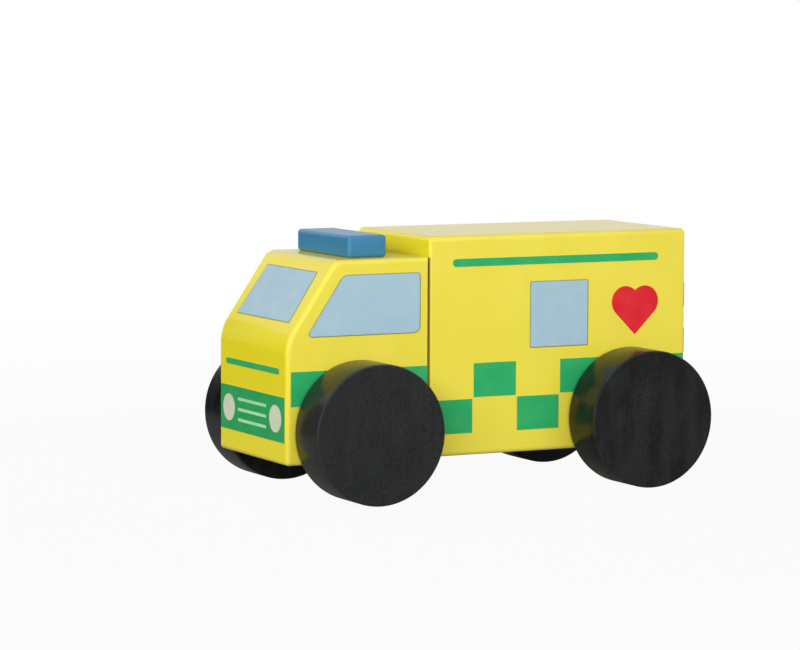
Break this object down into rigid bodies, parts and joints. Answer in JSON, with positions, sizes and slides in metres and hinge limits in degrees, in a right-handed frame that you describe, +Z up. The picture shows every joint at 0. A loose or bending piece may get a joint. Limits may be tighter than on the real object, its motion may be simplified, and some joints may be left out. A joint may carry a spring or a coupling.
{
  "type": "toy ambulance",
  "caption": "Chunky wooden push-along toy ambulance: yellow cab and box blocks with printed windows and checks, a blue lamp bar, and black disc wheels on turning dowel axles.",
  "frame": {"origin": "on the floor, under the middle of the overall length and width", "axes": "+X towards the nose, +Y to the vehicle's left, +Z up"},
  "size_m": [0.1384, 0.0816, 0.079],
  "materials": {
    "yellow_paint": "satin yellow paint over sanded hardwood",
    "blue_paint": "satin blue paint over sanded hardwood",
    "black_stain": "thin black stain with the grain showing",
    "bare_wood": "bare turned hardwood dowel",
    "window_print": "thin pale blue printed layer with a dark outline",
    "green_print": "thin green printed layer",
    "red_print": "thin red printed layer",
    "cream_print": "thin cream printed layer",
    "mint_print": "thin pale green printed layer"
  },
  "bodies": {
    "body": {"cab_block": "yellow_paint", "box_block": "yellow_paint", "seam_dowels": "bare_wood", "lamp_bar": "blue_paint", "lamp_bar_pegs": "bare_wood", "windscreen": "window_print", "left_cab_window": "window_print", "right_cab_window": "window_print", "left_box_window": "window_print", "right_box_window": "window_print", "front_panel": "green_print", "headlamps": "cream_print", "grille_bars": "mint_print", "bonnet_stripe": "green_print", "left_cab_stripe": "green_print", "right_cab_stripe": "green_print", "left_checks": "green_print", "right_checks": "green_print", "left_roof_stripe": "green_print", "right_roof_stripe": "green_print", "left_heart": "red_print", "right_heart": "red_print", "rear_chevrons": "red_print"},
    "front_wheel_set": {"front_axle": "bare_wood", "front_left_wheel": "black_stain", "front_right_wheel": "black_stain"},
    "rear_wheel_set": {"rear_axle": "bare_wood", "rear_left_wheel": "black_stain", "rear_right_wheel": "black_stain"}
  },
  "joints": [
    {"name": "front_axle_spin", "type": "hinge", "parent": "body", "child": "front_wheel_set", "pos_m": [0.04559, 0, 0.0212], "axis": [0, 1, 0], "continuous": true},
    {"name": "rear_axle_spin", "type": "hinge", "parent": "body", "child": "rear_wheel_set", "pos_m": [-0.04781, 0, 0.0212], "axis": [0, 1, 0], "continuous": true}
  ]
}
